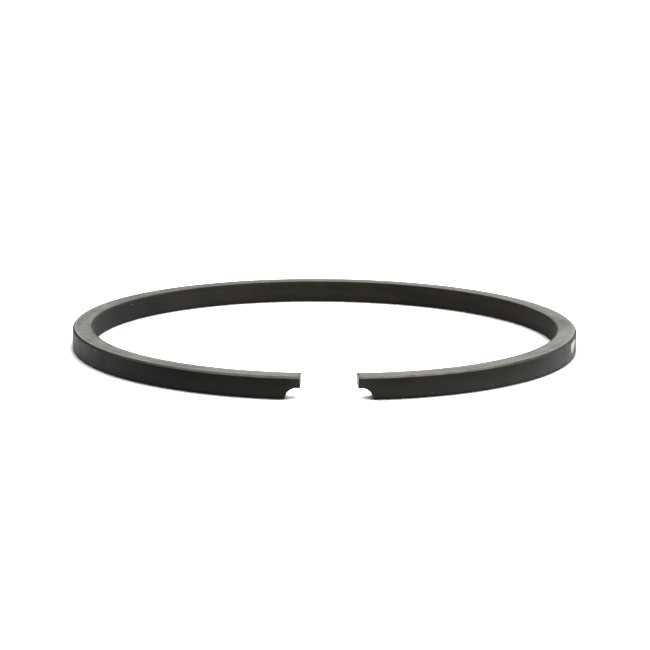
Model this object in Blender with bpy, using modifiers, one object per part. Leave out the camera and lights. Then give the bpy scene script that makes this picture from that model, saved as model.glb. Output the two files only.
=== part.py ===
"""Piston ring in its free shape, with a pin notch in the lower half of each end.

The ring is built in the order in which it is made. It is turned as a closed ring of its bore's
size, slit at the gap, notched at both ends for the locating pin, and then let spring open.
Units are metres. +Z is the ring's axis, the gap faces -Y, the lower side face lies on Z = 0 and
the origin is in the middle of the free ring.
"""

import math

import bmesh
import bpy
import numpy as np
from mathutils import Matrix, Vector

MM = 0.001

# Section of the ring
BORE_DIAMETER = 56.0 * MM
AXIAL_HEIGHT = 2.5 * MM
RADIAL_WIDTH = 2.30 * MM
OUTER_EDGE_CHAMFER = 0.18 * MM
INNER_EDGE_CHAMFER = 0.10 * MM

# Gap between the ends: in the bore, and in the free ring at the running face
CLOSED_GAP = 0.30 * MM
FREE_GAP = 6.20 * MM

# Notch at each end: half of a round-ended slot, milled across the closed gap for the locating pin
NOTCH_RADIUS = 1.25 * MM
NOTCH_FLAT = 0.37 * MM

# Edge break at the end faces and notches, on every edge that turns by more than the angle
END_EDGE_BREAK = 0.05 * MM
END_EDGE_ANGLE = math.radians(60.0)

# Fineness of the turned faces and of the notch's arc
TURNING_STEPS = 240
NOTCH_ARC_STEPS = 12

# Fineness of the sprung shape's curve, and rounds of fitting its tension to the free gap
SPRING_STATIONS = 2880
TENSION_ROUNDS = 8

CUTTER_OVERRUN = 1.0 * MM
MERGE_DISTANCE = 0.001 * MM
SHARP_ANGLE = math.radians(30.0)

# Colour and gloss of the phosphated iron
IRON_COLOUR = (0.034, 0.032, 0.028, 1.0)
IRON_ROUGHNESS = 0.42
IRON_METALLIC = 0.0

OUTER_RADIUS = BORE_DIAMETER / 2
INNER_RADIUS = OUTER_RADIUS - RADIAL_WIDTH
MIDDLE_RADIUS = OUTER_RADIUS - RADIAL_WIDTH / 2


def clear_scene():
    """Removes every object of the scene."""
    for scene_object in list(bpy.data.objects):
        bpy.data.objects.remove(scene_object, do_unlink=True)


def make_collection(name):
    """Returns a new collection of that name, linked to the scene."""
    collection = bpy.data.collections.new(name)
    bpy.context.scene.collection.children.link(collection)
    return collection


def make_iron():
    """Returns the material of the ring: cast iron with a dark phosphate coat."""
    material = bpy.data.materials.new("phosphated_iron")
    material.use_nodes = True
    shader = material.node_tree.nodes["Principled BSDF"]
    shader.inputs["Base Color"].default_value = IRON_COLOUR
    shader.inputs["Roughness"].default_value = IRON_ROUGHNESS
    shader.inputs["Metallic"].default_value = IRON_METALLIC
    return material


def ring_section():
    """Returns the ring's section as (radius, height) corners, running down the running face."""
    outer, inner, top = OUTER_RADIUS, INNER_RADIUS, AXIAL_HEIGHT
    return [
        (outer - OUTER_EDGE_CHAMFER, top),
        (outer, top - OUTER_EDGE_CHAMFER),
        (outer, OUTER_EDGE_CHAMFER),
        (outer - OUTER_EDGE_CHAMFER, 0.0),
        (inner + INNER_EDGE_CHAMFER, 0.0),
        (inner, INNER_EDGE_CHAMFER),
        (inner, top - INNER_EDGE_CHAMFER),
        (inner + INNER_EDGE_CHAMFER, top),
    ]


def turn_closed_ring(collection):
    """Returns the ring as it is turned: its section swept all the way round the axis."""
    mesh = bpy.data.meshes.new("closed_ring")
    turning = bmesh.new()
    corners = [turning.verts.new((radius, 0.0, height)) for radius, height in ring_section()]
    for corner, following in zip(corners, corners[1:] + corners[:1]):
        turning.edges.new((corner, following))
    turning.to_mesh(mesh)
    turning.free()

    ring = bpy.data.objects.new("closed_ring", mesh)
    collection.objects.link(ring)
    screw = ring.modifiers.new("turning", "SCREW")
    screw.axis = "Z"
    screw.angle = math.tau
    screw.steps = TURNING_STEPS
    screw.render_steps = TURNING_STEPS
    screw.use_merge_vertices = True
    screw.merge_threshold = MERGE_DISTANCE
    return ring


def make_gap_cutter(collection):
    """Returns the slitting saw's cut: a flat slab across the front of the closed ring."""
    depth = RADIAL_WIDTH + 2 * CUTTER_OVERRUN
    height = AXIAL_HEIGHT + 2 * CUTTER_OVERRUN
    bpy.ops.mesh.primitive_cube_add(size=1.0, location=(0.0, -MIDDLE_RADIUS, AXIAL_HEIGHT / 2))
    cutter = bpy.context.active_object
    cutter.name = "gap_cutter"
    cutter.data.transform(Matrix.Diagonal((CLOSED_GAP, depth, height, 1.0)))
    return as_cutter(cutter, collection)


def notch_outline():
    """Returns the milled slot's outline as (sideways, upward) points about its middle."""
    centre = CLOSED_GAP / 2 + NOTCH_FLAT
    outline = []
    for side in (1, -1):
        for step in range(NOTCH_ARC_STEPS * 2 + 1):
            angle = math.pi * step / (NOTCH_ARC_STEPS * 2) - math.pi / 2
            outline.append((
                side * (centre + NOTCH_RADIUS * math.cos(angle)),
                side * NOTCH_RADIUS * math.sin(angle),
            ))
    return outline


def make_notch_cutter(collection):
    """Returns the cutter of both pin notches: a round-ended slot, centred on the lower face."""
    outline = notch_outline()
    curve = bpy.data.curves.new("notch_cutter", "CURVE")
    curve.dimensions = "2D"
    curve.fill_mode = "BOTH"
    curve.extrude = RADIAL_WIDTH / 2 + CUTTER_OVERRUN
    spline = curve.splines.new("POLY")
    spline.points.add(len(outline) - 1)
    for point, (sideways, upward) in zip(spline.points, outline):
        point.co = (sideways, upward, 0.0, 1.0)
    spline.use_cyclic_u = True

    flat = bpy.data.objects.new("notch_outline", curve)
    collection.objects.link(flat)
    flat.rotation_euler.x = math.pi / 2
    flat.location.y = -MIDDLE_RADIUS
    return as_cutter(to_mesh_object(flat, "notch_cutter", collection), collection)


def to_mesh_object(source, name, collection):
    """Returns the object as modified, as a welded mesh of its own, and removes the object."""
    bpy.context.view_layer.update()
    depsgraph = bpy.context.evaluated_depsgraph_get()
    mesh = bpy.data.meshes.new_from_object(source.evaluated_get(depsgraph))
    mesh.name = name
    welding = bmesh.new()
    welding.from_mesh(mesh)
    bmesh.ops.remove_doubles(welding, verts=welding.verts, dist=MERGE_DISTANCE)
    bmesh.ops.recalc_face_normals(welding, faces=welding.faces)
    welding.to_mesh(mesh)
    welding.free()

    result = bpy.data.objects.new(name, mesh)
    collection.objects.link(result)
    result.matrix_world = source.matrix_world
    bpy.data.objects.remove(source, do_unlink=True)
    return result


def as_cutter(cutter, collection):
    """Returns the object as a guide that is seen as wire, moved to the cutters' collection."""
    for owner in list(cutter.users_collection):
        owner.objects.unlink(cutter)
    collection.objects.link(cutter)
    cutter.hide_render = True
    cutter.display_type = "WIRE"
    return cutter


def cut(ring, cutter):
    """Takes the cutter's shape out of the ring."""
    boolean = ring.modifiers.new(cutter.name, "BOOLEAN")
    boolean.operation = "DIFFERENCE"
    boolean.solver = "EXACT"
    boolean.object = cutter


def sprung_line(tension):
    """Works out the middle line of the ring once it has sprung open.

    A ring that presses evenly on its bore has, when free, a curvature that falls short of the
    bore's by tension * (1 + cos(angle)), with the angle counted from the back of the ring.

    Returns the stations' angles in the closed ring, their headings and their places in plan.
    """
    angles = np.linspace(-math.pi, math.pi, SPRING_STATIONS + 1)
    headings = angles - tension * (angles + np.sin(angles))
    places = np.empty((len(angles), 2))
    step = MIDDLE_RADIUS * (angles[1] - angles[0])
    for column, slope in enumerate((np.cos(headings), -np.sin(headings))):
        travel = np.concatenate(([0.0], np.cumsum((slope[1:] + slope[:-1]) / 2 * step)))
        places[:, column] = travel - travel[SPRING_STATIONS // 2]
    places[:, 1] += MIDDLE_RADIUS
    return angles, headings, places


def spring_point(point, line):
    """Returns where a point of the closed ring lies in the free ring."""
    angles, headings, places = line
    angle = math.atan2(point.x, point.y)
    offset = math.hypot(point.x, point.y) - MIDDLE_RADIUS
    heading = np.interp(angle, angles, headings)
    sideways = np.interp(angle, angles, places[:, 0]) + offset * math.sin(heading)
    rearward = np.interp(angle, angles, places[:, 1]) + offset * math.cos(heading)
    return Vector((sideways, rearward, point.z))


def find_tension():
    """Returns the tension at which the ends of the free ring stand FREE_GAP apart."""
    end_edge = Vector((
        CLOSED_GAP / 2,
        -math.sqrt(OUTER_RADIUS ** 2 - (CLOSED_GAP / 2) ** 2),
        0.0,
    ))
    gap_growth = 3 * math.pi * MIDDLE_RADIUS
    tension = (FREE_GAP - CLOSED_GAP) / gap_growth
    for _ in range(TENSION_ROUNDS):
        gap = 2 * spring_point(end_edge, sprung_line(tension)).x
        tension += (FREE_GAP - gap) / gap_growth
    return tension


def spring_open(ring):
    """Lets the cut ring spring open, and moves its middle in plan to the origin."""
    line = sprung_line(find_tension())
    for vertex in ring.data.vertices:
        vertex.co = spring_point(vertex.co, line)
    rearward = [vertex.co.y for vertex in ring.data.vertices]
    middle = (min(rearward) + max(rearward)) / 2
    ring.data.transform(Matrix.Translation((0.0, -middle, 0.0)))


def break_end_edges(ring):
    """Takes the sharpness off the edges of the end faces and of the notches."""
    bevel = ring.modifiers.new("edge_break", "BEVEL")
    bevel.width = END_EDGE_BREAK
    bevel.segments = 1
    bevel.limit_method = "ANGLE"
    bevel.angle_limit = END_EDGE_ANGLE


def build():
    """Builds the ring."""
    clear_scene()
    parts = make_collection("piston_ring")
    cutters = make_collection("cutters")

    closed_ring = turn_closed_ring(parts)
    cut(closed_ring, make_gap_cutter(cutters))
    cut(closed_ring, make_notch_cutter(cutters))

    ring = to_mesh_object(closed_ring, "piston_ring", parts)
    spring_open(ring)
    break_end_edges(ring)
    ring.data.materials.append(make_iron())
    ring.data.shade_smooth()
    ring.data.set_sharp_from_angle(angle=SHARP_ANGLE)


build()
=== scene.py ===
"""Looks of the piston ring: its finely rounded skin, its finishes, the floor, the light and the camera.

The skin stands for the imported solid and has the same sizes. It starts as a straight bar, with the
ring's section and its notched ends, and its edges are rounded while it is straight. It is then
sliced into stations, bent round its bore and let spring open to the free shape.
In the bar, x runs round the ring from its back, y is the offset outwards from the middle line and z
is the height above the lower side face. Those three are kept on the skin as its bar_place, so grain
and wear follow the way the ring was turned. Lengths are in millimetres, but the studio's are in metres.
"""

import logging
import math
from collections.abc import Iterable
from dataclasses import asdict, dataclass
from enum import Enum
from typing import ClassVar

import bmesh
import bpy
import numpy as np
from mathutils import Matrix, Vector


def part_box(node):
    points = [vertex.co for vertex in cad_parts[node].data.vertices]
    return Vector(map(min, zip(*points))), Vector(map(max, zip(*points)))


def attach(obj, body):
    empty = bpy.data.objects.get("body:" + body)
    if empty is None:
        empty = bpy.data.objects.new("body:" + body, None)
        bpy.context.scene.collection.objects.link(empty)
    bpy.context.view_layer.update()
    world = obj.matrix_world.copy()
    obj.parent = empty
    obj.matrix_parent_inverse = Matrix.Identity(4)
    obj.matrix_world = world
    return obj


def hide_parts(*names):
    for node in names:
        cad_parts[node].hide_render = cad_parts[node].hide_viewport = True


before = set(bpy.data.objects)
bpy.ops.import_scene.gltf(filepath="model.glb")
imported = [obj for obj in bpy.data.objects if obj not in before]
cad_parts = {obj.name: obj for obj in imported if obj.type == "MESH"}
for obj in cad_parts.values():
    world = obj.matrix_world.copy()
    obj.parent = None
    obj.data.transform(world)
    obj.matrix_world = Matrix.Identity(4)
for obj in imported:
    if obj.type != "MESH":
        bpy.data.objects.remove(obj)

MM = 0.001
NODE = "piston_ring"
BODY = "root"
PLACE = "bar_place"

log = logging.getLogger("piston_ring_scene")

Triple = tuple[float, float, float]
Colour = Triple
Span = tuple[float, float]
Stops = tuple[Span, ...]
Outline = list[Span]
Socket = bpy.types.NodeSocket
Sockets = dict[str, Socket]
Feed = Socket | float | Triple
Share = tuple[Feed, float]

WHITE: Colour = (1.0, 1.0, 1.0)


def by_name(sockets: Iterable[Socket]) -> Sockets:
    """Returns sockets under their names."""
    return {socket.name: socket for socket in sockets}


def put(name: str, data: bpy.types.ID) -> bpy.types.Object:
    """Puts an object into the scene.

    Args:
        name: Its name.
        data: Its mesh, light or camera.

    Returns:
        The object.
    """
    made = bpy.data.objects.new(name, data)
    bpy.context.scene.collection.objects.link(made)
    return made


class Surface(Enum):
    """The kinds of surface on the ring, in the order of its material slots."""

    SIDE = 0
    RUNNING = 1
    INNER = 2
    CHAMFER = 3
    END = 4


@dataclass
class Graph:
    """A node tree, with short ways to add nodes to it and to link them."""

    tree: bpy.types.NodeTree

    def feed(self, socket: Socket, value: Feed) -> None:
        """Gives an input socket its value, or links it to the socket that has it.

        Args:
            socket: The input.
            value: A number, a colour or vector, or an output socket.
        """
        if isinstance(value, bpy.types.NodeSocket):
            self.tree.links.new(value, socket)
        elif isinstance(value, tuple) and socket.type == "RGBA":
            socket.default_value = (*value, 1.0)
        else:
            socket.default_value = value

    def node(
        self, kind: str, feeds: dict[int | str, Feed] | None = None, **settings: object
    ) -> bpy.types.Node:
        """Adds a node.

        Args:
            kind: The node's type, such as ShaderNodeMath.
            feeds: What its inputs get, by their numbers or names.
            settings: Properties of the node and their values.

        Returns:
            The new node.
        """
        made = self.tree.nodes.new(kind)
        for name, value in settings.items():
            setattr(made, name, value)
        for key, value in (feeds or {}).items():
            self.feed(made.inputs[key], value)
        return made

    def axes(self, place: Socket) -> tuple[Socket, Socket, Socket]:
        """Returns the three distances of a place."""
        return tuple(self.node("ShaderNodeSeparateXYZ", {0: place}).outputs)

    def joined(self, *parts: Feed) -> Socket:
        """Returns the place that has three distances."""
        return self.node("ShaderNodeCombineXYZ", dict(enumerate(parts))).outputs[0]

    def math(self, operation: str, first: Feed, second: Feed = 0.0, clamp: bool = False) -> Socket:
        """Returns the result of one sum, held between 0 and 1 if it is clamped."""
        feeds = {0: first, 1: second}
        return self.node("ShaderNodeMath", feeds, operation=operation, use_clamp=clamp).outputs[0]

    def plus(self, first: Feed, second: Feed, clamp: bool = False) -> Socket:
        """Returns the sum of two values."""
        return self.math("ADD", first, second, clamp)

    def minus(self, first: Feed, second: Feed) -> Socket:
        """Returns the first value less the second."""
        return self.math("SUBTRACT", first, second)

    def times(self, first: Feed, second: Feed, clamp: bool = False) -> Socket:
        """Returns the product of two values."""
        return self.math("MULTIPLY", first, second, clamp)

    def total(self, start: Feed, *shares: Share) -> Socket:
        """Adds shares of other values to a value.

        Args:
            start: The value.
            shares: The other values, each with its share.

        Returns:
            The sum.
        """
        for value, share in shares:
            start = self.plus(start, self.times(value, share))
        return start

    def spread(self, value: Feed, low: Feed, high: Feed, *to: Feed) -> Socket:
        """Returns a value carried smoothly from the range of low to high to another, or to 0 to 1."""
        feeds = dict(enumerate((value, low, high, *to)))
        return self.node("ShaderNodeMapRange", feeds, interpolation_type="SMOOTHSTEP").outputs[0]

    def ramp(self, value: Feed, stops: Stops) -> Socket:
        """Gives each value a level, smoothly between the stops.

        Args:
            value: The value.
            stops: Values in rising order, each with its level, which is 0 or more.

        Returns:
            The level.
        """
        low, high = stops[0][0], stops[-1][0]
        brightest = max(level for _, level in stops)
        made = self.node("ShaderNodeValToRGB")
        made.color_ramp.interpolation = "EASE"
        self.feed(made.inputs[0], self.math("DIVIDE", self.minus(value, low), high - low))
        elements = made.color_ramp.elements
        while len(elements) < len(stops):
            elements.new(0.5)
        for element, (entry, level) in zip(elements, stops):
            element.position = (entry - low) / (high - low)
            element.color = (level / brightest,) * 3 + (1.0,)
        return self.times(made.outputs["Color"], brightest)

    def mix(self, share: Feed, first: Feed, second: Feed) -> Socket:
        """Returns a mix of two colours, with the share of the second."""
        return self.node("ShaderNodeMix", {0: share, 6: first, 7: second}, data_type="RGBA").outputs[2]

    def stretched(self, place: Socket, along: Feed, across: Feed) -> Socket:
        """Returns a place counted in marks of a length along the ring and a width across."""
        sizes = zip(self.axes(place), (along, across, across))
        return self.joined(*(self.math("DIVIDE", part, size) for part, size in sizes))

    def noise(self, vector: Socket, detail: float = 3.0, roughness: float = 0.6) -> Socket:
        """Returns noise of unit size, about 0.5 on average, with finer layers of that roughness."""
        feeds = {"Vector": vector, "Scale": 1.0, "Detail": detail, "Roughness": roughness}
        return self.node("ShaderNodeTexNoise", feeds).outputs["Fac"]


class IronGraph(Graph):
    """The node tree of one of the ring's materials, with its shader and the place on the bar."""

    def __init__(self, tree: bpy.types.NodeTree) -> None:
        """Finds the shader's inputs, and splits the place on the bar.

        Args:
            tree: The material's node tree.
        """
        super().__init__(tree)
        self.shader = by_name(tree.nodes["Principled BSDF"].inputs)
        self.place = self.node("ShaderNodeAttribute", attribute_name=PLACE).outputs["Vector"]
        self.far, self.out, self.up = self.axes(self.place)


@dataclass(frozen=True)
class Effect:
    """A shader node group that more than one finish uses, with the values of one such use."""

    group: ClassVar[str]

    @classmethod
    def start(cls, inputs: tuple[str, ...], outputs: tuple[str, ...]) -> tuple[Graph, Sockets, Sockets]:
        """Makes the empty group, whose first input is the place on the bar.

        Args:
            inputs: The names of its other inputs, which are numbers.
            outputs: The names of its outputs, which are numbers too.

        Returns:
            The group's graph, the sockets that bring the inputs in, and those that take the outputs.
        """
        tree = bpy.data.node_groups.new(cls.group, "ShaderNodeTree")
        tree.interface.new_socket(name="Place", in_out="INPUT", socket_type="NodeSocketVector")
        for names, way in ((inputs, "INPUT"), (outputs, "OUTPUT")):
            for name in names:
                tree.interface.new_socket(name=name, in_out=way, socket_type="NodeSocketFloat")
        graph = Graph(tree)
        entries = by_name(graph.node("NodeGroupInput").outputs)
        return graph, entries, by_name(graph.node("NodeGroupOutput").inputs)

    def use(self, graph: IronGraph, **varying: Feed) -> Sockets:
        """Places the group in a material, with this effect's values.

        Args:
            graph: The material's graph.
            varying: Inputs that change over the surface, and a place other than the plain one.

        Returns:
            The group's outputs.
        """
        tree = bpy.data.node_groups[self.group]
        made = graph.node("ShaderNodeGroup", node_tree=tree, label=self.group)
        for name, value in {"place": graph.place, **asdict(self), **varying}.items():
            graph.feed(made.inputs[name.title()], value)
        return by_name(made.outputs)


@dataclass(frozen=True)
class TurningMarks(Effect):
    """Fine lines round the ring, left by turning and by the side grinder, in broader bands."""

    group: ClassVar[str] = "turning_marks"
    line_noise: ClassVar[Span] = (0.28, 0.72)
    band_noise: ClassVar[Span] = (0.30, 0.70)
    lines_to_a_band: ClassVar[float] = 5.0
    length: float
    width: float

    @classmethod
    def build(cls) -> None:
        """Builds the group."""
        graph, given, result = cls.start(("Length", "Width"), ("Lines", "Bands"))
        place, length, width = given["Place"], given["Length"], given["Width"]
        fine = graph.noise(graph.stretched(place, length, width))
        broad = graph.times(width, cls.lines_to_a_band)
        bands = graph.noise(graph.stretched(place, length, broad), 2.0, 0.5)
        graph.feed(result["Lines"], graph.spread(fine, *cls.line_noise))
        graph.feed(result["Bands"], graph.spread(bands, *cls.band_noise))


@dataclass(frozen=True)
class PhosphateCoat(Effect):
    """The dark coat: soft cloudy patches of two tints, and the fine crystals that it is made of."""

    group: ClassVar[str] = "phosphate_coat"
    patch_noise: ClassVar[Span] = (0.32, 0.68)
    tint_noise: ClassVar[Span] = (0.36, 0.64)
    crystal_noise: ClassVar[Span] = (0.25, 0.75)
    tint_size: ClassVar[float] = 1.7
    tint_shift: ClassVar[Triple] = (31.0, 17.0, 9.0)
    patch: float
    crystal: float

    @classmethod
    def build(cls) -> None:
        """Builds the group."""
        graph, given, result = cls.start(("Patch", "Crystal"), ("Patches", "Tint", "Crystals"))
        place, patch, crystal = given["Place"], given["Patch"], given["Crystal"]
        patches = graph.noise(graph.stretched(place, patch, patch), 3.0, 0.55)
        shifted = graph.node("ShaderNodeVectorMath", {0: place, 1: cls.tint_shift}, operation="ADD")
        wide = graph.times(patch, cls.tint_size)
        tint = graph.noise(graph.stretched(shifted.outputs[0], wide, wide), 2.0, 0.5)
        crystals = graph.noise(graph.stretched(place, crystal, crystal), 2.0)
        graph.feed(result["Patches"], graph.spread(patches, *cls.patch_noise))
        graph.feed(result["Tint"], graph.spread(tint, *cls.tint_noise))
        graph.feed(result["Crystals"], graph.spread(crystals, *cls.crystal_noise))


@dataclass(frozen=True)
class EdgeWear(Effect):
    """Where the coat has rubbed thin: a ragged strip beside an edge of the section."""

    group: ClassVar[str] = "edge_wear"
    tear_size: ClassVar[Span] = (1.6, 0.25)
    tear_depth: ClassVar[float] = 3.0
    least_reach: ClassVar[float] = 0.005
    edge: float
    reach: float
    ragged: float

    @classmethod
    def build(cls) -> None:
        """Builds the group."""
        graph, given, result = cls.start(("Position", "Edge", "Reach", "Ragged"), ("Wear",))
        distance = graph.math("ABSOLUTE", graph.minus(given["Position"], given["Edge"]))
        tears = graph.noise(graph.stretched(given["Place"], *cls.tear_size))
        swing = graph.times(graph.minus(tears, 0.5), given["Ragged"])
        reach = graph.times(given["Reach"], graph.plus(1.0, graph.times(swing, cls.tear_depth)))
        reach = graph.math("MAXIMUM", reach, cls.least_reach)
        graph.feed(result["Wear"], graph.spread(distance, reach, 0.0))


@dataclass(frozen=True)
class Specks(Effect):
    """Sparse small specks, such as lint, pits and bright nicks."""

    group: ClassVar[str] = "specks"
    spacing: float
    size: float
    share: float

    @classmethod
    def build(cls) -> None:
        """Builds the group."""
        graph, given, result = cls.start(("Spacing", "Size", "Share"), ("Specks",))
        counted = graph.stretched(given["Place"], given["Spacing"], given["Spacing"])
        cells = graph.node("ShaderNodeTexVoronoi", {"Vector": counted, "Scale": 1.0}, feature="F1")
        drawn = graph.node("ShaderNodeSeparateColor", {0: cells.outputs["Color"]}).outputs
        kept = graph.math("LESS_THAN", drawn[0], given["Share"])
        size = graph.times(given["Size"], graph.plus(0.5, drawn[1]))
        near = graph.spread(cells.outputs["Distance"], size, graph.times(size, 0.5))
        graph.feed(result["Specks"], graph.times(near, kept))


@dataclass(frozen=True)
class Wash:
    """A thin colour over another: its strength where its mask is full, and its colour."""

    strength: float
    colour: Colour

    def over(self, graph: Graph, mask: Feed, base: Feed) -> Socket:
        """Returns the base colour with the wash over it, where the mask lets it lie."""
        return graph.mix(graph.times(mask, self.strength), base, self.colour)


@dataclass(frozen=True)
class Nick:
    """A small pale mark at a known place: a nick through the coat, or a grain of lint."""

    along: float
    height: float
    length: float
    width: float
    colour: Colour
    edge: ClassVar[Span] = (1.3, 0.4)

    def over(self, graph: IronGraph, base: Feed) -> Socket:
        """Lays the mark over a colour.

        Args:
            graph: The material's graph.
            base: The colour below.

        Returns:
            The colour with the mark.
        """
        wide = graph.math("DIVIDE", graph.minus(graph.far, self.along), self.length / 2)
        tall = graph.math("DIVIDE", graph.minus(graph.up, self.height), self.width / 2)
        distance = graph.plus(graph.times(wide, wide), graph.times(tall, tall))
        return graph.mix(graph.spread(distance, *self.edge), base, self.colour)


@dataclass(frozen=True)
class Finish:
    """What the finishes share: tints, marks and a coat, and how bright and rough they are."""

    name: str
    marks: TurningMarks
    coat: PhosphateCoat
    dark: Colour = (0.0052, 0.0044, 0.0031)
    light: Colour = (0.0092, 0.0080, 0.0062)
    worn: Colour = (0.150, 0.140, 0.112)
    ior: float = 1.33
    reflection: Colour = (1.0, 0.965, 0.885)
    roughness: float = 0.34
    rough_lines: float = 0.06
    rough_patches: float = 0.08
    crystal_height: float = 0.5
    relief: float = 0.0010

    def build(self) -> bpy.types.Material:
        """Builds the material.

        Returns:
            The material.
        """
        material = bpy.data.materials.new(self.name)
        material.use_nodes = True
        graph = IronGraph(material.node_tree)
        graph.feed(graph.shader["IOR"], self.ior)
        graph.feed(graph.shader["Specular Tint"], self.reflection)
        self.paint(graph)
        return material

    def paint(self, graph: IronGraph) -> None:
        """Feeds the shader, in the way of each finish."""
        raise NotImplementedError(self.name)

    def face(self, graph: IronGraph, base: Feed, height: Feed, *rough: Share) -> None:
        """Feeds the shader its colour, its roughness and a fine relief.

        Args:
            graph: The material's graph.
            base: The colour.
            height: The relief, from 0 to 1.
            rough: What makes the surface rougher, each with its share.
        """
        graph.feed(graph.shader["Base Color"], base)
        graph.feed(graph.shader["Roughness"], graph.total(self.roughness, *rough))
        feeds = {"Strength": 1.0, "Distance": self.relief * MM, "Height": height}
        graph.feed(graph.shader["Normal"], graph.node("ShaderNodeBump", feeds).outputs[0])


@dataclass(frozen=True)
class SideFinish(Finish):
    """The ground side faces: streaks round the ring, under a coat that is greenish in one place and
    pinkish in the next, and thinner at the outer rim, where a painted glint lies on it too. Painted
    light and shade make the faces lighter on the ring's right and dark at its back."""

    name: str = "side_face_iron"
    marks: TurningMarks = TurningMarks(4.0, 0.11)
    streaks: TurningMarks = TurningMarks(5.0, 0.34)
    coat: PhosphateCoat = PhosphateCoat(1.5, 0.07)
    # The strip beside the outer rim: partly wear, partly a painted glint.
    outer_wear: EdgeWear = EdgeWear(0.97, 0.40, 0.5)
    inner_wear: EdgeWear = EdgeWear(-1.05, 0.26, 0.8)
    # A strip beside each end, made darker and rougher.
    end_wear: EdgeWear = EdgeWear(84.2, 0.30, 0.8)
    specks: Specks = Specks(2.4, 0.035, 0.35)
    dark: Colour = (0.021, 0.029, 0.010)
    light: Colour = (0.076, 0.052, 0.042)
    worn: Colour = (0.155, 0.148, 0.120)
    # Pale colour of the outer rim: partly worn iron, partly a painted glint.
    outer_rim: Wash = Wash(0.85, (0.245, 0.234, 0.200))
    inner_rim: Wash = Wash(0.7, (0.020, 0.014, 0.009))
    end_rim: Wash = Wash(0.8, (0.012, 0.011, 0.009))
    pits: Wash = Wash(0.8, (0.004, 0.004, 0.004))
    ior: float = 1.35
    # Painted light and shade: by its place round the ring the coat is made paler or darker, lighter on
    # the ring's right and darker at its back.
    thin_along: Stops = (
        (-84.3, 0.80), (-77.0, 0.64), (-69.0, 0.06), (-50.0, 0.00), (-34.0, 0.26), (-16.0, 0.24),
        (-5.0, 0.44), (11.0, 0.52), (22.0, 0.42), (31.0, 0.46), (42.0, 0.12), (50.5, 0.90),
        (57.0, 0.44), (76.0, 0.36), (84.3, 0.40),
    )
    thin_streaks: float = 0.62
    thin_lines: float = 0.14
    thin_rim: float = 0.30
    matt_along: Stops = ((-45.0, 0.00), (-20.0, 0.07), (6.0, 0.08), (18.0, 0.00), (45.0, 0.00))
    roughness: float = 0.20
    rough_streaks: float = 0.10
    rough_patches: float = 0.05
    rough_ends: float = 0.25
    rough_inner: float = 0.20
    crystal_height: float = 0.4
    relief: float = 0.0009

    def paint(self, graph: IronGraph) -> None:
        """Feeds the shader of the side faces.

        Args:
            graph: The material's graph.
        """
        fine, broad, coat = (effect.use(graph) for effect in (self.marks, self.streaks, self.coat))
        outer = self.outer_wear.use(graph, position=graph.out)["Wear"]
        inner = self.inner_wear.use(graph, position=graph.out)["Wear"]
        ends = self.end_wear.use(graph, position=graph.math("ABSOLUTE", graph.far))["Wear"]
        # Thinness from the streaks and lines, with the painted light and shade by place round the ring.
        wear_and_painted_light = graph.total(
            graph.ramp(graph.far, self.thin_along),
            (graph.minus(broad["Lines"], 0.5), self.thin_streaks),
            (fine["Lines"], self.thin_lines),
        )
        wear_and_painted_light = graph.plus(wear_and_painted_light, graph.times(outer, self.thin_rim), clamp=True)
        base = graph.mix(coat["Tint"], self.dark, self.light)
        base = graph.mix(wear_and_painted_light, base, self.worn)
        # Outer rim paler: partly wear, partly a painted glint.
        base = self.outer_rim.over(graph, outer, base)
        base = self.inner_rim.over(graph, inner, base)
        # Darker towards the ends.
        base = self.end_rim.over(graph, ends, base)
        self.face(
            graph,
            self.pits.over(graph, self.specks.use(graph)["Specks"], base),
            graph.total(fine["Lines"], (coat["Crystals"], self.crystal_height)),
            (broad["Bands"], self.rough_streaks),
            (coat["Patches"], self.rough_patches),
            (graph.ramp(graph.far, self.matt_along), 1.0),
            (ends, self.rough_ends),
            (inner, self.rough_inner),
        )


@dataclass(frozen=True)
class WallFinish(Finish):
    """What the running face and the inner face share: turned lines, and a coat with painted shade that
    makes it darker in some stretches of the ring than in others."""

    worn_bands: float = 0.06
    dark_along: Stops = ()
    darkest: Colour = (0.002, 0.002, 0.002)
    specks: Specks = Specks(3.0, 0.035, 0.10)
    grains: Wash = Wash(0.5, (0.14, 0.13, 0.12))
    nicks: tuple[Nick, ...] = ()

    def rub(self, graph: IronGraph, base: Socket) -> Socket:
        """Returns the coat as it is, for a wall that nothing rubs on."""
        return base

    def daub(self, graph: IronGraph, base: Socket) -> tuple[Socket, tuple[Share, ...]]:
        """Returns the colour as it is and nothing rougher, for a wall without paint."""
        return base, ()

    def paint(self, graph: IronGraph) -> None:
        """Feeds the shader of the wall.

        Args:
            graph: The material's graph.
        """
        marks, coat = self.marks.use(graph), self.coat.use(graph)
        base = graph.mix(coat["Tint"], self.dark, self.light)
        base = graph.mix(graph.times(marks["Bands"], self.worn_bands), base, self.worn)
        # Painted shade: the wall is darkened by its place round the ring.
        base = graph.mix(graph.ramp(graph.far, self.dark_along), base, self.darkest)
        base = self.rub(graph, base)
        base = self.grains.over(graph, self.specks.use(graph)["Specks"], base)
        for nick in self.nicks:
            base = nick.over(graph, base)
        base, rougher = self.daub(graph, base)
        self.face(
            graph,
            base,
            graph.total(marks["Lines"], (coat["Crystals"], self.crystal_height)),
            (marks["Lines"], self.rough_lines),
            (coat["Patches"], self.rough_patches),
            *rougher,
        )


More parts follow.
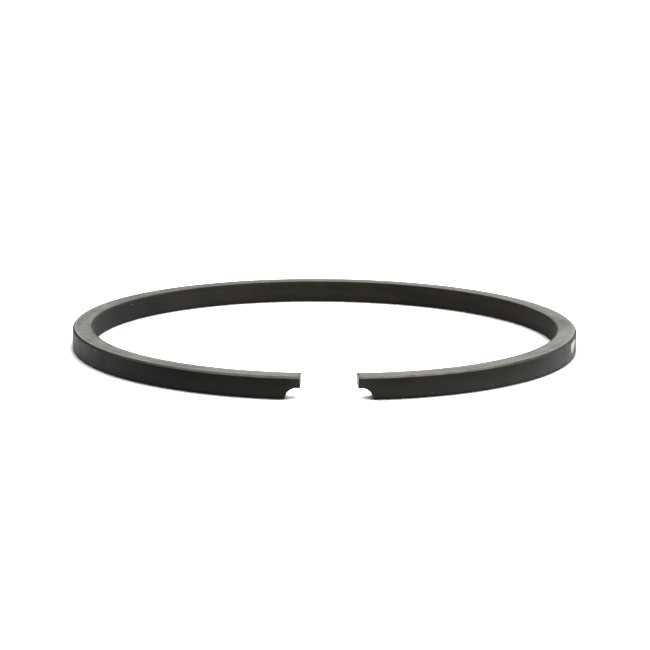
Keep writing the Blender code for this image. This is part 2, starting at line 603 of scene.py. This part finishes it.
@dataclass(frozen=True)
class RunningFinish(WallFinish):
    """The running face: fine turned lines under the darkest coat, which is rubbed beside the upper
    edge and near the gap, with painted shade on the ring's left and painted light towards the lower
    edge, and a plain dab of paint on one side."""

    name: str = "running_face_iron"
    marks: TurningMarks = TurningMarks(14.0, 0.10)
    coat: PhosphateCoat = PhosphateCoat(2.6, 0.05)
    specks: Specks = Specks(2.0, 0.040, 0.10)
    grains: Wash = Wash(0.5, (0.16, 0.16, 0.15))
    ior: float = 1.27
    worn_bands: float = 0.015
    # Painted shade on the ring's left.
    dark_along: Stops = (
        (-84.3, 0.45), (-76.0, 0.60), (-57.0, 0.80), (-48.0, 0.20), (-30.0, 0.0), (84.3, 0.0),
    )
    darkest: Colour = (0.001, 0.001, 0.001)
    # Painted light: lighter towards the lower edge, against the floor's shade seen in the face.
    thin_below: float = 2.3
    thin_share: float = 0.09
    thin_along: Stops = (
        (-84.3, 0.11), (-83.6, 0.06), (-82.8, 0.01), (-82.0, 0.00),
        (79.5, 0.00), (82.4, 0.035), (83.2, 0.095), (84.3, 0.105),
    )
    rubbed: EdgeWear = EdgeWear(2.335, 0.11, 0.5)
    rubbed_along: Stops = ((-84.3, 1.0), (-75.0, 0.9), (-70.0, 0.0), (84.3, 0.0))
    bare: Colour = (0.250, 0.234, 0.198)
    nicks: tuple[Nick, ...] = (
        Nick(-57.1, 2.08, 0.52, 0.12, (0.150, 0.135, 0.120)),
        Nick(-59.4, 1.80, 0.30, 0.42, (0.034, 0.032, 0.030)),
        Nick(-55.6, 2.14, 0.34, 0.13, (0.075, 0.064, 0.055)),
        Nick(-53.6, 2.05, 0.35, 0.16, (0.050, 0.045, 0.040)),
        Nick(76.28, 0.48, 0.12, 0.09, (0.220, 0.215, 0.200)),
        Nick(60.4, 0.48, 0.11, 0.08, (0.300, 0.300, 0.290)),
        Nick(56.4, 0.24, 0.12, 0.08, (0.300, 0.300, 0.290)),
    )
    dab_colour: Colour = (0.50, 0.50, 0.485)
    dab_foot: Span = (51.5, 0.92)
    dab_top: Span = (50.6, 2.16)
    dab_half_lengths: Span = (0.50, 1.95)
    dab_tears: Span = (1.1, 0.6)
    dab_raggedness: float = 1.5
    dab_squareness: float = 2.5
    dab_edge: Span = (1.10, 0.80)
    brush_marks: Span = (0.5, 0.9)
    brush_depth: float = 0.5
    cover_heights: Span = (0.3, 1.7)
    cover_shares: Span = (0.52, 0.90)
    smears: Span = (0.9, 6.0)
    rough_smears: float = 0.22
    rough_dab: float = 0.2

    def rub(self, graph: IronGraph, base: Socket) -> Socket:
        """Paints the coat a little lighter towards the lower edge, as painted light, and thins it more
        at the ends and the upper edge.

        Args:
            graph: The material's graph.
            base: The coat's colour.

        Returns:
            The colour.
        """
        # Painted light towards the lower edge.
        lower = graph.spread(graph.up, self.thin_below, 0.0)
        base = graph.mix(graph.times(lower, self.thin_share), base, self.worn)
        base = graph.mix(graph.ramp(graph.far, self.thin_along), base, self.worn)
        rubbed = self.rubbed.use(graph, position=graph.up)["Wear"]
        return graph.mix(graph.times(rubbed, graph.ramp(graph.far, self.rubbed_along)), base, self.bare)

    def dab(self, graph: IronGraph) -> Socket:
        """Makes the mask of the pale dab, a wedge that is broad at the top.

        Args:
            graph: The material's graph.

        Returns:
            The mask, 1 inside the dab.
        """
        (foot, low), (top, high) = self.dab_foot, self.dab_top
        narrow, broad = self.dab_half_lengths
        rise = graph.math("DIVIDE", graph.minus(graph.up, low), high - low, clamp=True)
        middle = graph.plus(foot, graph.times(rise, top - foot))
        half = graph.plus(narrow, graph.times(rise, broad - narrow))
        wide = graph.math("DIVIDE", graph.math("ABSOLUTE", graph.minus(graph.far, middle)), half)
        tall = graph.math("ABSOLUTE", graph.minus(graph.up, (low + high) / 2))
        tall = graph.math("DIVIDE", tall, (high - low) / 2)
        rounded = graph.plus(*(graph.math("POWER", size, self.dab_squareness) for size in (wide, tall)))
        ragged = graph.minus(graph.noise(graph.stretched(graph.place, *self.dab_tears), 4.0, 0.65), 0.5)
        return graph.spread(graph.total(rounded, (ragged, self.dab_raggedness)), *self.dab_edge)

    def daub(self, graph: IronGraph, base: Socket) -> tuple[Socket, tuple[Share, ...]]:
        """Lays the dab over the coat, and smears the oil on it.

        Args:
            graph: The material's graph.
            base: The coat's colour.

        Returns:
            The colour, and what makes the surface rougher, each with its share.
        """
        dab = self.dab(graph)
        thick = graph.minus(graph.noise(graph.stretched(graph.place, *self.brush_marks)), 0.5)
        cover = graph.spread(graph.up, *self.cover_heights, *self.cover_shares)
        cover = graph.total(cover, (thick, self.brush_depth))
        base = graph.mix(graph.times(dab, cover, clamp=True), base, self.dab_colour)
        smears = graph.minus(graph.noise(graph.stretched(graph.place, *self.smears)), 0.5)
        return base, ((smears, self.rough_smears), (dab, self.rough_dab))


@dataclass(frozen=True)
class InnerFinish(WallFinish):
    """The inner face: coarser turned lines, and a browner coat."""

    name: str = "inner_face_iron"
    marks: TurningMarks = TurningMarks(18.0, 0.14)
    coat: PhosphateCoat = PhosphateCoat(3.4, 0.06)
    dark: Colour = (0.0130, 0.0115, 0.0092)
    light: Colour = (0.0235, 0.0172, 0.0120)
    # Painted shade, strongest on the ring's left.
    dark_along: Stops = (
        (-84.3, 0.3), (-44.0, 0.80), (-26.0, 0.75), (-16.0, 0.15),
        (0.0, 0.05), (10.0, 0.0), (36.0, 0.1), (84.3, 0.2),
    )
    nicks: tuple[Nick, ...] = (Nick(-28.9, 2.05, 0.30, 0.14, (0.160, 0.145, 0.130)),)
    ior: float = 1.28
    roughness: float = 0.50
    rough_lines: float = 0.08
    relief: float = 0.0016


@dataclass(frozen=True)
class ChamferFinish(Finish):
    """The outer broken edges: coated below and at the sides, and rubbed to grey iron above and near
    the gap, where part of the paleness is a painted glint."""

    name: str = "chamfer_iron"
    marks: TurningMarks = TurningMarks(5.0, 0.05)
    coat: PhosphateCoat = PhosphateCoat(1.3, 0.05)
    dark: Colour = (0.016, 0.014, 0.011)
    light: Colour = (0.030, 0.027, 0.021)
    worn: Colour = (0.250, 0.234, 0.198)
    worn_heights: Span = (0.4, 2.0)
    # Paleness by place round the ring: partly wear, partly a painted glint.
    worn_along: Stops = (
        (-84.3, 0.88), (-78.0, 0.76), (-71.0, 0.56), (-65.0, 0.24), (-60.0, 0.06), (-50.0, 0.02),
        (0.0, 0.20), (50.0, 0.00), (59.0, 0.00), (65.0, 0.16), (71.0, 0.62), (77.0, 0.86), (84.3, 0.92),
    )
    even_share: float = 0.72
    patch_share: float = 0.36
    even_lines: float = 0.85
    line_share: float = 0.3
    bright_metal: float = 0.25
    ior: float = 1.24
    roughness: float = 0.51
    rough_lines: float = 0.10
    relief: float = 0.0006

    def paint(self, graph: IronGraph) -> None:
        """Feeds the shader of the outer broken edges.

        Args:
            graph: The material's graph.
        """
        marks, coat = self.marks.use(graph), self.coat.use(graph)
        # Upper chamfer paler: partly wear, partly a painted glint.
        above = graph.spread(graph.up, *self.worn_heights)
        rubbed = graph.times(graph.ramp(graph.far, self.worn_along), above)
        uneven = graph.times(
            graph.total(self.even_share, (coat["Patches"], self.patch_share)),
            graph.total(self.even_lines, (marks["Lines"], self.line_share)),
        )
        rubbed = graph.times(rubbed, uneven, clamp=True)
        graph.feed(graph.shader["Metallic"], graph.times(rubbed, self.bright_metal))
        base = graph.mix(rubbed, graph.mix(coat["Tint"], self.dark, self.light), self.worn)
        self.face(graph, base, marks["Lines"], (marks["Lines"], self.rough_lines))


@dataclass(frozen=True)
class EndFinish(Finish):
    """The sawn ends and milled notches: greyer, with the cutter's marks across them."""

    name: str = "end_face_iron"
    marks: TurningMarks = TurningMarks(4.0, 0.07)
    coat: PhosphateCoat = PhosphateCoat(0.9, 0.05)
    dark: Colour = (0.270, 0.268, 0.258)
    light: Colour = (0.380, 0.377, 0.365)
    worn: Colour = (0.560, 0.556, 0.540)
    worn_lines: float = 0.5
    metal: float = 0.8
    roughness: float = 0.28
    rough_lines: float = 0.12
    relief: float = 0.0012

    def paint(self, graph: IronGraph) -> None:
        """Feeds the shader of the ends.

        Args:
            graph: The material's graph.
        """
        lines = self.marks.use(graph, place=graph.joined(graph.out, graph.up, graph.far))["Lines"]
        base = graph.mix(self.coat.use(graph)["Patches"], self.dark, self.light)
        base = graph.mix(graph.times(lines, self.worn_lines), base, self.worn)
        graph.feed(graph.shader["Metallic"], self.metal)
        self.face(graph, base, lines, (lines, self.rough_lines))


@dataclass
class PistonRing:
    """The ring's skin. Its sizes are those of the part's source, in millimetres."""

    bore_diameter: float = 56.0
    axial_height: float = 2.5
    radial_width: float = 2.30
    outer_chamfer: float = 0.18
    inner_chamfer: float = 0.10
    closed_gap: float = 0.30
    free_gap: float = 6.20
    notch_radius: float = 1.25
    notch_flat: float = 0.37
    notch_steps: int = 64
    cutter_overrun: float = 1.0
    rounding: float = 0.040
    rounding_segments: int = 3
    rounded_angle: float = 28.0
    merge_distance: float = 0.0005
    station_length: float = 0.235
    end_length: float = 9.0
    slice_tolerance: float = 0.004
    long_edge_margin: float = 1.0
    spring_stations: int = 5760
    tension_rounds: int = 8
    parallel_cuts: float = 3.0
    parallel_fade: float = 9.0
    normal_weight: int = 90
    end_normal: Span = (0.5, 0.3)
    notch_margin: float = 0.01
    arc_start: float = 0.05
    arc_margin: float = 0.03
    wall_normal: float = 0.6
    plain_normal: float = 0.97
    finishes: ClassVar[dict[Surface, Finish]] = dict(zip(
        Surface, (SideFinish(), RunningFinish(), InnerFinish(), ChamferFinish(), EndFinish())
    ))

    @property
    def middle_radius(self) -> float:
        """The radius of the closed ring's middle line."""
        return (self.bore_diameter - self.radial_width) / 2

    @property
    def half_turn(self) -> float:
        """The length of the middle line from the back to the middle of the gap."""
        return math.pi * self.middle_radius

    @property
    def half_length(self) -> float:
        """The length of the straight bar from its middle to an end."""
        return self.half_turn - self.closed_gap / 2

    def section(self) -> Outline:
        """Lists the section's corners, down the running face and round.

        Returns:
            The corners' outward offsets and heights.
        """
        half, top = self.radial_width / 2, self.axial_height
        return [
            (half - self.outer_chamfer, top),
            (half, top - self.outer_chamfer),
            (half, self.outer_chamfer),
            (half - self.outer_chamfer, 0.0),
            (self.inner_chamfer - half, 0.0),
            (-half, self.inner_chamfer),
            (-half, top - self.inner_chamfer),
            (self.inner_chamfer - half, top),
        ]

    def prism(self, name: str, *ends: list[Triple]) -> bpy.types.Object:
        """Makes a prism.

        Args:
            name: The object's name.
            ends: The corners of its two ends.

        Returns:
            The prism, with its faces outwards.
        """
        solid = bmesh.new()
        first, second = ([solid.verts.new(corner) for corner in end] for end in ends)
        for index in range(len(first)):
            after = (index + 1) % len(first)
            solid.faces.new((first[index], first[after], second[after], second[index]))
        for end in (first, second):
            solid.faces.new(end)
        bmesh.ops.recalc_face_normals(solid, faces=solid.faces)
        mesh = bpy.data.meshes.new(name)
        solid.to_mesh(mesh)
        solid.free()
        return put(name, mesh)

    def notch_cutter(self, side: int) -> bpy.types.Object:
        """Makes the cutter of one end's notch.

        Args:
            side: 1 for the end at positive x, -1 for the other.

        Returns:
            The cutter.
        """
        centre = self.half_length - self.notch_flat
        past = side * (self.half_length + self.cutter_overrun)
        outline = [(past, self.notch_radius), (past, -self.notch_radius)]
        for step in range(self.notch_steps + 1):
            angle = math.pi * step / self.notch_steps - math.pi / 2
            across = side * (centre - self.notch_radius * math.cos(angle))
            outline.append((across, self.notch_radius * math.sin(angle)))
        reach = self.radial_width / 2 + self.cutter_overrun
        ends = ([(x, y, z) for x, z in outline] for y in (-reach, reach))
        return self.prism(f"notch_cutter_{side}", *ends)

    def round_edges(self, bar: bpy.types.Object) -> bmesh.types.BMesh:
        """Cuts the notches and rounds the bar's edges.

        Args:
            bar: The plain bar, which is removed.

        Returns:
            The bar's mesh.
        """
        cutters = [self.notch_cutter(side) for side in (1, -1)]
        for cutter in cutters:
            cut = bar.modifiers.new(cutter.name, "BOOLEAN")
            cut.operation, cut.solver, cut.object = "DIFFERENCE", "EXACT", cutter
        bevel = bar.modifiers.new("rounding", "BEVEL")
        bevel.width = self.rounding
        bevel.segments = self.rounding_segments
        bevel.limit_method = "ANGLE"
        bevel.angle_limit = math.radians(self.rounded_angle)
        bevel.use_clamp_overlap = False
        bpy.context.view_layer.update()
        made = bpy.data.meshes.new_from_object(bar.evaluated_get(bpy.context.evaluated_depsgraph_get()))
        rounded = bmesh.new()
        rounded.from_mesh(made)
        bpy.data.meshes.remove(made)
        for scrap in (bar, *cutters):
            bpy.data.objects.remove(scrap, do_unlink=True)
        bmesh.ops.remove_doubles(rounded, verts=rounded.verts, dist=self.merge_distance)
        return rounded

    def surface_of(self, face: bmesh.types.BMFace) -> Surface:
        """Tells which surface a face of the straight bar belongs to.

        Args:
            face: The face.

        Returns:
            Its surface.
        """
        middle = face.calc_center_median()
        along, outward, upward = (abs(part) for part in face.normal)
        wall = Surface.RUNNING if face.normal.y > 0 else Surface.INNER
        notch_end = self.closed_gap / 2 + self.notch_flat + self.notch_radius + self.notch_margin
        near_notch = self.half_turn - abs(middle.x) < notch_end
        on_arc = near_notch and self.arc_start < middle.z < self.axial_height / 2 + self.arc_margin
        least_along, most_outward = self.end_normal
        if outward < most_outward and (along > least_along or on_arc):
            return Surface.END
        if near_notch and upward < self.wall_normal:
            return wall
        if upward > self.plain_normal:
            return Surface.SIDE
        if wall is Surface.RUNNING and outward <= self.plain_normal:
            return Surface.CHAMFER
        return wall

    def slice_stations(self, bar: bmesh.types.BMesh) -> None:
        """Slices the bar at the stations, so that it can bend.

        Args:
            bar: The straight bar's mesh.
        """
        plain = self.half_length - self.end_length
        end_stations = round(self.end_length / self.station_length)
        for side in (1, -1):
            for level in np.linspace(plain, self.half_length, end_stations, endpoint=False):
                start = level - self.station_length
                near = [face for face in bar.faces if any(side * v.co.x > start for v in face.verts)]
                edges = {edge for face in near for edge in face.edges}
                corners = {vertex for edge in edges for vertex in edge.verts}
                plane = {"plane_co": (side * level, 0, 0), "plane_no": (1, 0, 0)}
                pieces = [*near, *edges, *corners]
                bmesh.ops.bisect_plane(bar, geom=pieces, dist=self.slice_tolerance, **plane)
        least = 2 * plain - self.long_edge_margin
        long_edges = [e for e in bar.edges if abs(e.verts[0].co.x - e.verts[1].co.x) > least]
        cuts = round(2 * plain / self.station_length) - 1
        bmesh.ops.subdivide_edges(bar, edges=long_edges, cuts=cuts, use_grid_fill=True)

    def free_line(self, tension: float) -> tuple[np.ndarray, np.ndarray, np.ndarray]:
        """Works out the middle line of the free ring, as the part's source does.

        Args:
            tension: How far the curvature falls short of the bore's.

        Returns:
            The stations' angles in the closed ring, their headings and their places in plan.
        """
        angles = np.linspace(-math.pi, math.pi, self.spring_stations + 1)
        headings = angles - tension * (angles + np.sin(angles))
        places = np.empty((len(angles), 2))
        step = self.middle_radius * (angles[1] - angles[0])
        for column, slope in enumerate((np.cos(headings), -np.sin(headings))):
            travel = np.concatenate(([0.0], np.cumsum((slope[1:] + slope[:-1]) / 2 * step)))
            places[:, column] = travel - travel[self.spring_stations // 2]
        places[:, 1] += self.middle_radius
        return angles, headings, places

    def closed_angles(self, bar_places: np.ndarray) -> np.ndarray:
        """Finds the angle, in the closed ring, of places on the straight bar.

        Near the gap the cuts stay parallel, as the saw and the milling cutter leave them.

        Args:
            bar_places: The places on the bar.

        Returns:
            The angles from the back of the ring.
        """
        from_gap = self.half_turn - np.abs(bar_places[:, 0])
        radius = self.middle_radius + bar_places[:, 1]
        parallel = np.arcsin(np.clip(from_gap / radius, -1.0, 1.0))
        away = np.clip((from_gap - self.parallel_cuts) / self.parallel_fade, 0.0, 1.0)
        away = away * away * (3.0 - 2.0 * away)
        angle = parallel + (from_gap / self.middle_radius - parallel) * away
        return np.sign(bar_places[:, 0]) * (math.pi - angle)

    def bend(self, bar_places: np.ndarray, tension: float) -> np.ndarray:
        """Bends places on the straight bar to the free ring.

        Args:
            bar_places: The places on the bar.
            tension: The ring's tension.

        Returns:
            The places on the free ring.
        """
        angles, headings, line = self.free_line(tension)
        closed = self.closed_angles(bar_places)
        heading = np.interp(closed, angles, headings)
        made = bar_places.copy()
        for column, slope in enumerate((np.sin(heading), np.cos(heading))):
            made[:, column] = np.interp(closed, angles, line[:, column]) + bar_places[:, 1] * slope
        return made

    def find_tension(self) -> float:
        """Finds the tension at which the free gap has its size at the running face.

        Returns:
            The tension.
        """
        end_edge = np.array([[self.half_length, self.radial_width / 2, 0.0]])
        gap_growth = 3 * math.pi * self.middle_radius
        tension = (self.free_gap - self.closed_gap) / gap_growth
        for _ in range(self.tension_rounds):
            gap = 2 * self.bend(end_edge, tension)[0, 0]
            tension += (self.free_gap - gap) / gap_growth
        return tension

    def build(self) -> bpy.types.Object:
        """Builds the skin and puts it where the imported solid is.

        Returns:
            The skin.
        """
        reach, section = self.half_length, self.section()
        ends = ([(x, *corner) for corner in section] for x in (-reach, reach))
        rounded = self.round_edges(self.prism("straight_bar", *ends))
        rounded.normal_update()
        for face in rounded.faces:
            face.material_index = self.surface_of(face).value
            face.smooth = True
        self.slice_stations(rounded)
        mesh = bpy.data.meshes.new("ring_skin")
        rounded.to_mesh(mesh)
        rounded.free()

        flat = np.empty(len(mesh.vertices) * 3, np.float32)
        mesh.vertices.foreach_get("co", flat)
        mesh.attributes.new(PLACE, "FLOAT_VECTOR", "POINT").data.foreach_set("vector", flat)
        free = self.bend(flat.reshape(-1, 3).astype(float), self.find_tension())
        low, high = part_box(NODE)
        free[:, 1] += (low.y + high.y) / 2 / MM - (free[:, 1].min() + free[:, 1].max()) / 2
        free[:, 2] += low.z / MM
        mesh.vertices.foreach_set("co", (free * MM).astype(np.float32).ravel())
        mesh.update()

        skin = put("ring_skin", mesh)
        even = skin.modifiers.new("face_normals", "WEIGHTED_NORMAL")
        even.mode = "FACE_AREA"
        even.weight = self.normal_weight
        even.keep_sharp = True
        return skin

    def dress(self, skin: bpy.types.Object) -> None:
        """Gives each surface its finish."""
        for surface in Surface:
            skin.data.materials.append(self.finishes[surface].build())

    def place(self) -> bpy.types.Object:
        """Builds and dresses the skin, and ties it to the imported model.

        Returns:
            The skin.
        """
        skin = self.build()
        self.dress(skin)
        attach(skin, BODY)
        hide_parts(NODE)
        return skin


@dataclass(frozen=True)
class Lamp:
    """A soft box: where it hangs, how large it is and how bright it looks."""

    name: str
    place: Triple
    size: Span
    radiance: float
    watts_per_radiance: ClassVar[float] = 4.0

    def build(self, aim: Vector) -> None:
        """Hangs the lamp.

        Args:
            aim: The point it faces.
        """
        light = bpy.data.lights.new(self.name, "AREA")
        light.shape = "RECTANGLE"
        light.size, light.size_y = self.size
        light.energy = self.radiance * self.watts_per_radiance * self.size[0] * self.size[1]
        lamp = put(self.name, light)
        lamp.location = self.place
        lamp.rotation_mode = "QUATERNION"
        lamp.rotation_quaternion = (aim - Vector(self.place)).to_track_quat("-Z", "Y")
        lamp.visible_camera = False


@dataclass
class Studio:
    """The pale floor, the walls of the studio and the soft boxes, in metres."""

    floor_size: float = 6.0
    floor_colour: float = 0.85
    floor_lift: float = 1.70
    mirrored_lift: float = 0.05
    contact_reach: float = 0.0020
    contact_lean: Triple = (-0.26, 0.12, 0.96)
    contact_open: Span = (0.38, 0.76)
    shadow_reach: float = 0.0018
    shadow_lean: Triple = (0.19, 0.41, 0.89)
    shadow_shut: Span = (0.36, 0.55)
    shadow_depth: float = 0.94
    shadow_beside_gap: Span = (0.0042, 0.0052)
    shadow_behind_gap: Span = (-0.020, -0.010)
    openness_samples: int = 8
    ceiling_level: float = 0.40
    wall_top: Span = (0.22, 0.62)
    wall_levels: Stops = (
        (-180.0, 1.00), (-155.0, 0.38), (-125.0, 0.00), (-70.0, 0.00), (-12.0, 0.80),
        (40.0, 1.90), (90.0, 3.40), (120.0, 2.60), (150.0, 0.95), (180.0, 1.00),
    )
    lamps: tuple[Lamp, ...] = (
        Lamp("right_soft_box", (0.31, 0.24, 0.50), (0.40, 0.40), 5.0),
        Lamp("left_soft_box", (-0.33, 0.16, 0.52), (0.40, 0.40), 1.7),
    )

    def openness(self, graph: Graph, reach: float, lean: Triple) -> Socket:
        """Measures how open the floor is, close by, on the side that it leans to.

        Args:
            graph: The floor material's graph.
            reach: How far away things still count, in metres.
            lean: The direction of that side, from the floor.

        Returns:
            The openness, 1 where nothing is near.
        """
        feeds = {"Distance": reach, "Normal": graph.joined(*Vector(lean).normalized())}
        near = graph.node("ShaderNodeAmbientOcclusion", feeds, samples=self.openness_samples)
        return near.outputs["AO"]

    def pale_floor(self) -> bpy.types.Material:
        """Makes the floor's material: white to the camera, with a painted shadow where the ring keeps
        light off, worked out from how open the floor is close by.

        Returns:
            The material.
        """
        material = bpy.data.materials.new("pale_floor")
        material.use_nodes = True
        graph, nodes = Graph(material.node_tree), material.node_tree.nodes
        nodes.remove(nodes["Principled BSDF"])
        # Painted contact shade: the floor's lift to white falls where the ring is close by.
        contact = self.openness(graph, self.contact_reach, self.contact_lean)
        open_sky = graph.spread(contact, *self.contact_open)
        # Painted shadow: a dark core on the floor's side away from the key light, kept off the floor in
        # front of the gap.
        away = self.openness(graph, self.shadow_reach, self.shadow_lean)
        shade = graph.spread(away, *self.shadow_shut, self.shadow_depth, 0.0)
        right, back = graph.axes(graph.node("ShaderNodeNewGeometry").outputs["Position"])[:2]
        beside = graph.spread(graph.math("ABSOLUTE", right), *self.shadow_beside_gap)
        clear = graph.math("MAXIMUM", beside, graph.spread(back, *self.shadow_behind_gap))
        path = graph.node("ShaderNodeLightPath").outputs
        lift = graph.times(path["Is Camera Ray"], graph.times(open_sky, self.floor_lift))
        lift = graph.plus(lift, graph.times(path["Is Glossy Ray"], self.mirrored_lift))
        lit = graph.minus(1.0, graph.times(path["Is Camera Ray"], graph.times(shade, clear)))
        level = graph.times(lit, graph.plus(self.floor_colour, lift))
        matt = graph.node("ShaderNodeBsdfDiffuse", {"Color": level})
        graph.feed(nodes["Material Output"].inputs["Surface"], matt.outputs[0])
        return material

    def floor(self) -> None:
        """Lays the floor."""
        reach = self.floor_size / 2
        mesh = bpy.data.meshes.new("floor")
        corners = [(-reach, -reach, 0), (reach, -reach, 0), (reach, reach, 0), (-reach, reach, 0)]
        mesh.from_pydata(corners, [], [(0, 1, 2, 3)])
        mesh.materials.append(self.pale_floor())
        floor = put("floor", mesh)

    def surroundings(self) -> None:
        """Makes the world: white to the camera, and a studio with walls and a ceiling to all else."""
        world = bpy.data.worlds.new("studio")
        bpy.context.scene.world = world
        world.use_nodes = True
        graph, nodes = Graph(world.node_tree), world.node_tree.nodes
        right, back, up = graph.axes(graph.node("ShaderNodeTexCoord").outputs["Generated"])
        turn = graph.math("ARCTAN2", right, graph.times(back, -1.0))
        walls = graph.ramp(graph.math("DEGREES", turn), self.wall_levels)
        above = graph.spread(up, *self.wall_top)
        level = graph.plus(walls, graph.times(above, graph.minus(self.ceiling_level, walls)))
        studio = nodes["Background"]
        graph.feed(studio.inputs["Color"], WHITE)
        graph.feed(studio.inputs["Strength"], level)
        white = graph.node("ShaderNodeBackground", {"Color": WHITE, "Strength": 1.0})
        seen = graph.node("ShaderNodeLightPath").outputs["Is Camera Ray"]
        feeds = {0: seen, 1: studio.outputs[0], 2: white.outputs[0]}
        both = graph.node("ShaderNodeMixShader", feeds)
        graph.feed(nodes["World Output"].inputs["Surface"], both.outputs[0])

    def build(self) -> None:
        """Builds the studio."""
        self.floor()
        self.surroundings()
        for lamp in self.lamps:
            lamp.build(Vector((0.0, 0.0, 0.0)))


@dataclass
class PhotoCamera:
    """The camera, where the photograph was taken from: millimetres, degrees and pixels."""

    distance: float = 322.5
    azimuth: float = -1.0927
    elevation: float = 11.9208
    roll: float = 0.4784
    focal_pixels: float = 2773.57
    image_side: float = 650.0
    sensor: float = 36.0
    middle_at: Span = (324.458, 344.45)
    clip_range: Span = (0.01, 20.0)

    def build(self) -> bpy.types.Object:
        """Builds the camera and makes it the scene's own.

        Returns:
            The camera.
        """
        turn, rise, roll = (math.radians(value) for value in (self.azimuth, self.elevation, self.roll))
        flat = math.cos(rise)
        back = Vector((math.sin(turn) * flat, -math.cos(turn) * flat, math.sin(rise)))
        right = Vector((math.cos(turn), math.sin(turn), 0.0))
        up = back.cross(right)
        rolled_right = right * math.cos(roll) + up * math.sin(roll)
        rolled_up = up * math.cos(roll) - right * math.sin(roll)
        turned = Matrix((rolled_right, rolled_up, back)).transposed()
        across, down = (value - self.image_side / 2 for value in self.middle_at)
        seen_at = Vector((across, -down, -self.focal_pixels))
        turned = turned @ seen_at.rotation_difference(Vector((0.0, 0.0, -1.0))).to_matrix()

        lens = bpy.data.cameras.new("photo_camera")
        lens.sensor_width = self.sensor
        lens.sensor_fit = "HORIZONTAL"
        lens.lens = self.focal_pixels / self.image_side * self.sensor
        lens.clip_start, lens.clip_end = self.clip_range
        camera = put("photo_camera", lens)
        camera.matrix_world = Matrix.Translation(back * self.distance * MM) @ turned.to_4x4()
        bpy.context.scene.camera = camera
        return camera


def main() -> None:
    """Builds the camera, the effects, the ring and the studio, and reports each."""
    logging.basicConfig(level=logging.INFO, format="%(name)s: %(message)s")
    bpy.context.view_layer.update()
    bpy.context.scene.view_settings.view_transform = "Standard"
    camera = PhotoCamera().build()
    log.info("camera %s, lens %.1f mm", camera.name, camera.data.lens)
    for effect in (TurningMarks, PhosphateCoat, EdgeWear, Specks):
        effect.build()
        log.info("effect %s", effect.group)
    skin = PistonRing().place()
    mesh = skin.data
    log.info("piece %s: %d vertices, %d faces", skin.name, len(mesh.vertices), len(mesh.polygons))
    Studio().build()
    log.info("studio built")


if __name__ == "__main__":
    main()
